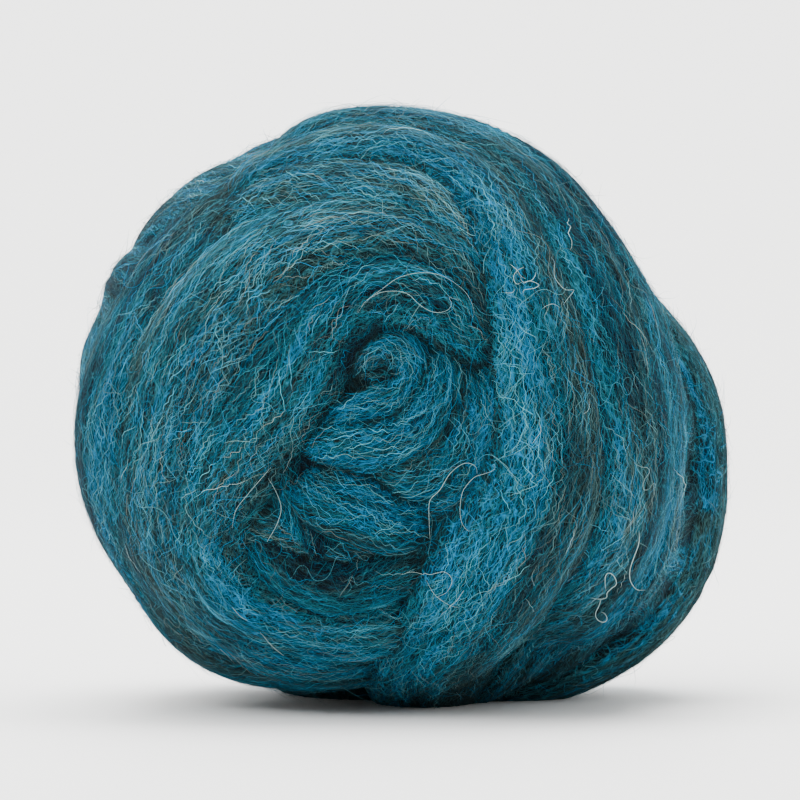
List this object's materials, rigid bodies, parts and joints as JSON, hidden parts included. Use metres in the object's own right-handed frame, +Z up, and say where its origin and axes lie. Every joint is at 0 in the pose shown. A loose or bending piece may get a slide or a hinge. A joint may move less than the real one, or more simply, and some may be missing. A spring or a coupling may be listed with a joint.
{
  "type": "ball of wool roving",
  "caption": "Hand-wound ball of carded wool roving, with a coiled centre in its face, broad overlapping turns round it and a small flat spot that it rests on.",
  "frame": {"origin": "on the resting surface, under the middle of the ball's bounding box", "axes": "+Z up, +X to the right as the coiled face is seen, -Y out of the coiled face"},
  "size_m": [0.109, 0.097, 0.1],
  "materials": {
    "teal_wool": "matt heathered teal wool with loose fine fibres"
  },
  "bodies": {
    "root": {"roving_ball": "teal_wool"}
  },
  "joints": []
}
